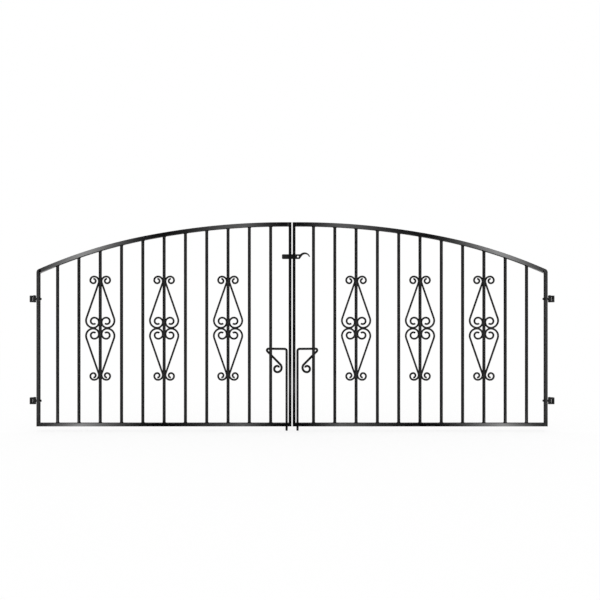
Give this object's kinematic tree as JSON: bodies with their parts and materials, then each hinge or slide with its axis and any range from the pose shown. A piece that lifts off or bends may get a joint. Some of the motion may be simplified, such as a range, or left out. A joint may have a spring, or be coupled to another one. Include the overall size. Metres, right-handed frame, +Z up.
{
  "type": "wrought iron driveway gate",
  "caption": "Pair of bow-topped black steel driveway gates with round infill bars, scroll panels, post hinges, scroll-handled drop bolts and a centre latch",
  "frame": {"origin": "middle of the post face of the left lower hinge bracket", "axes": "X along the opening from the left post to the right one, Y from the street side to the drive side, Z up"},
  "size_m": [2.743, 0.045, 1.0907],
  "materials": {
    "frame_black": "black satin powder coat",
    "infill_black": "black satin powder coat",
    "scroll_black": "black satin powder coat",
    "hardware_black": "black satin powder coat"
  },
  "bodies": {
    "post_hinges": {"left_lower_bracket": "hardware_black", "left_upper_bracket": "hardware_black", "left_hinge_pins": "hardware_black", "right_lower_bracket": "hardware_black", "right_upper_bracket": "hardware_black", "right_hinge_pins": "hardware_black"},
    "left_leaf": {"left_hinge_stile": "frame_black", "left_meeting_stile": "frame_black", "left_bottom_rail": "frame_black", "left_bow_rail": "frame_black", "left_eye_bolts": "hardware_black", "left_bar_01": "infill_black", "left_bar_02": "infill_black", "left_bar_03": "infill_black", "left_bar_04": "infill_black", "left_bar_05": "infill_black", "left_bar_06": "infill_black", "left_bar_07": "infill_black", "left_bar_08": "infill_black", "left_bar_09": "infill_black", "left_bar_10": "infill_black", "left_bar_11": "infill_black", "left_scroll_panel_1": "scroll_black", "left_scroll_panel_2": "scroll_black", "left_scroll_panel_3": "scroll_black", "latch_keep": "hardware_black"},
    "right_leaf": {"right_hinge_stile": "frame_black", "right_meeting_stile": "frame_black", "right_bottom_rail": "frame_black", "right_bow_rail": "frame_black", "right_eye_bolts": "hardware_black", "right_bar_01": "infill_black", "right_bar_02": "infill_black", "right_bar_03": "infill_black", "right_bar_04": "infill_black", "right_bar_05": "infill_black", "right_bar_06": "infill_black", "right_bar_07": "infill_black", "right_bar_08": "infill_black", "right_bar_09": "infill_black", "right_bar_10": "infill_black", "right_bar_11": "infill_black", "right_scroll_panel_1": "scroll_black", "right_scroll_panel_2": "scroll_black", "right_scroll_panel_3": "scroll_black", "latch_stud": "hardware_black"},
    "latch": {"latch_lever": "hardware_black"},
    "left_bolt": {"left_drop_bolt": "hardware_black"},
    "right_bolt": {"right_drop_bolt": "hardware_black"}
  },
  "joints": [
    {"name": "left_leaf_swing", "type": "hinge", "parent": "post_hinges", "child": "left_leaf", "pos_m": [0.0215, 0, 0], "axis": [0, 0, 1], "range_deg": [0, 90]},
    {"name": "right_leaf_swing", "type": "hinge", "parent": "post_hinges", "child": "right_leaf", "pos_m": [2.7215, 0, 0], "axis": [0, 0, -1], "range_deg": [0, 90]},
    {"name": "latch_lift", "type": "hinge", "parent": "right_leaf", "child": "latch", "pos_m": [1.382, 0.0185, 0.757], "axis": [0, 1, 0], "range_deg": [0, 60]},
    {"name": "left_bolt_lift", "type": "slide", "parent": "left_leaf", "child": "left_bolt", "axis": [0, 0, 1], "range_m": [0, 0.03]},
    {"name": "right_bolt_lift", "type": "slide", "parent": "right_leaf", "child": "right_bolt", "axis": [0, 0, 1], "range_m": [0, 0.03]}
  ]
}
